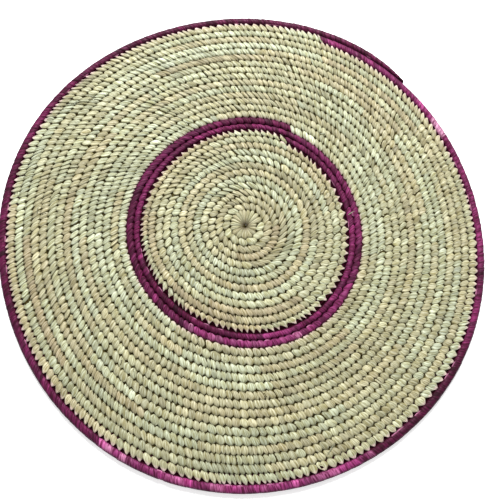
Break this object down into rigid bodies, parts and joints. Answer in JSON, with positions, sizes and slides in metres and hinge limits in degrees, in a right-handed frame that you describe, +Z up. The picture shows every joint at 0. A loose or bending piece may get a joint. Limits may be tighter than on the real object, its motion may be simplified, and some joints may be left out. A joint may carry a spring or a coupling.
{
  "type": "straw placemat",
  "caption": "Round flat placemat coiled from straw in one spiral, natural with a dyed ring and a dyed rim; it lies under a plate and keeps the table clean.",
  "frame": {"origin": "the middle of the rosette where the coil starts, on the underside, in the plane that the mat rests on", "axes": "+Z up out of the mat's upper face; the ring and the rim begin 65 to 68 degrees round from +X towards +Y, and the coil runs clockwise outwards seen from +Z"},
  "size_m": [0.3799, 0.3828, 0.0056],
  "materials": {
    "natural_straw": "dry palm leaf and grass straw, pale green to yellow and tan, with a faint satin sheen along the fibre",
    "dyed_straw": "the same straw dyed purple, unevenly, from magenta to dark plum, with a satin sheen"
  },
  "bodies": {
    "root": {"inner_coil": "natural_straw", "ring": "dyed_straw", "outer_coil": "natural_straw", "rim": "dyed_straw"}
  },
  "joints": []
}
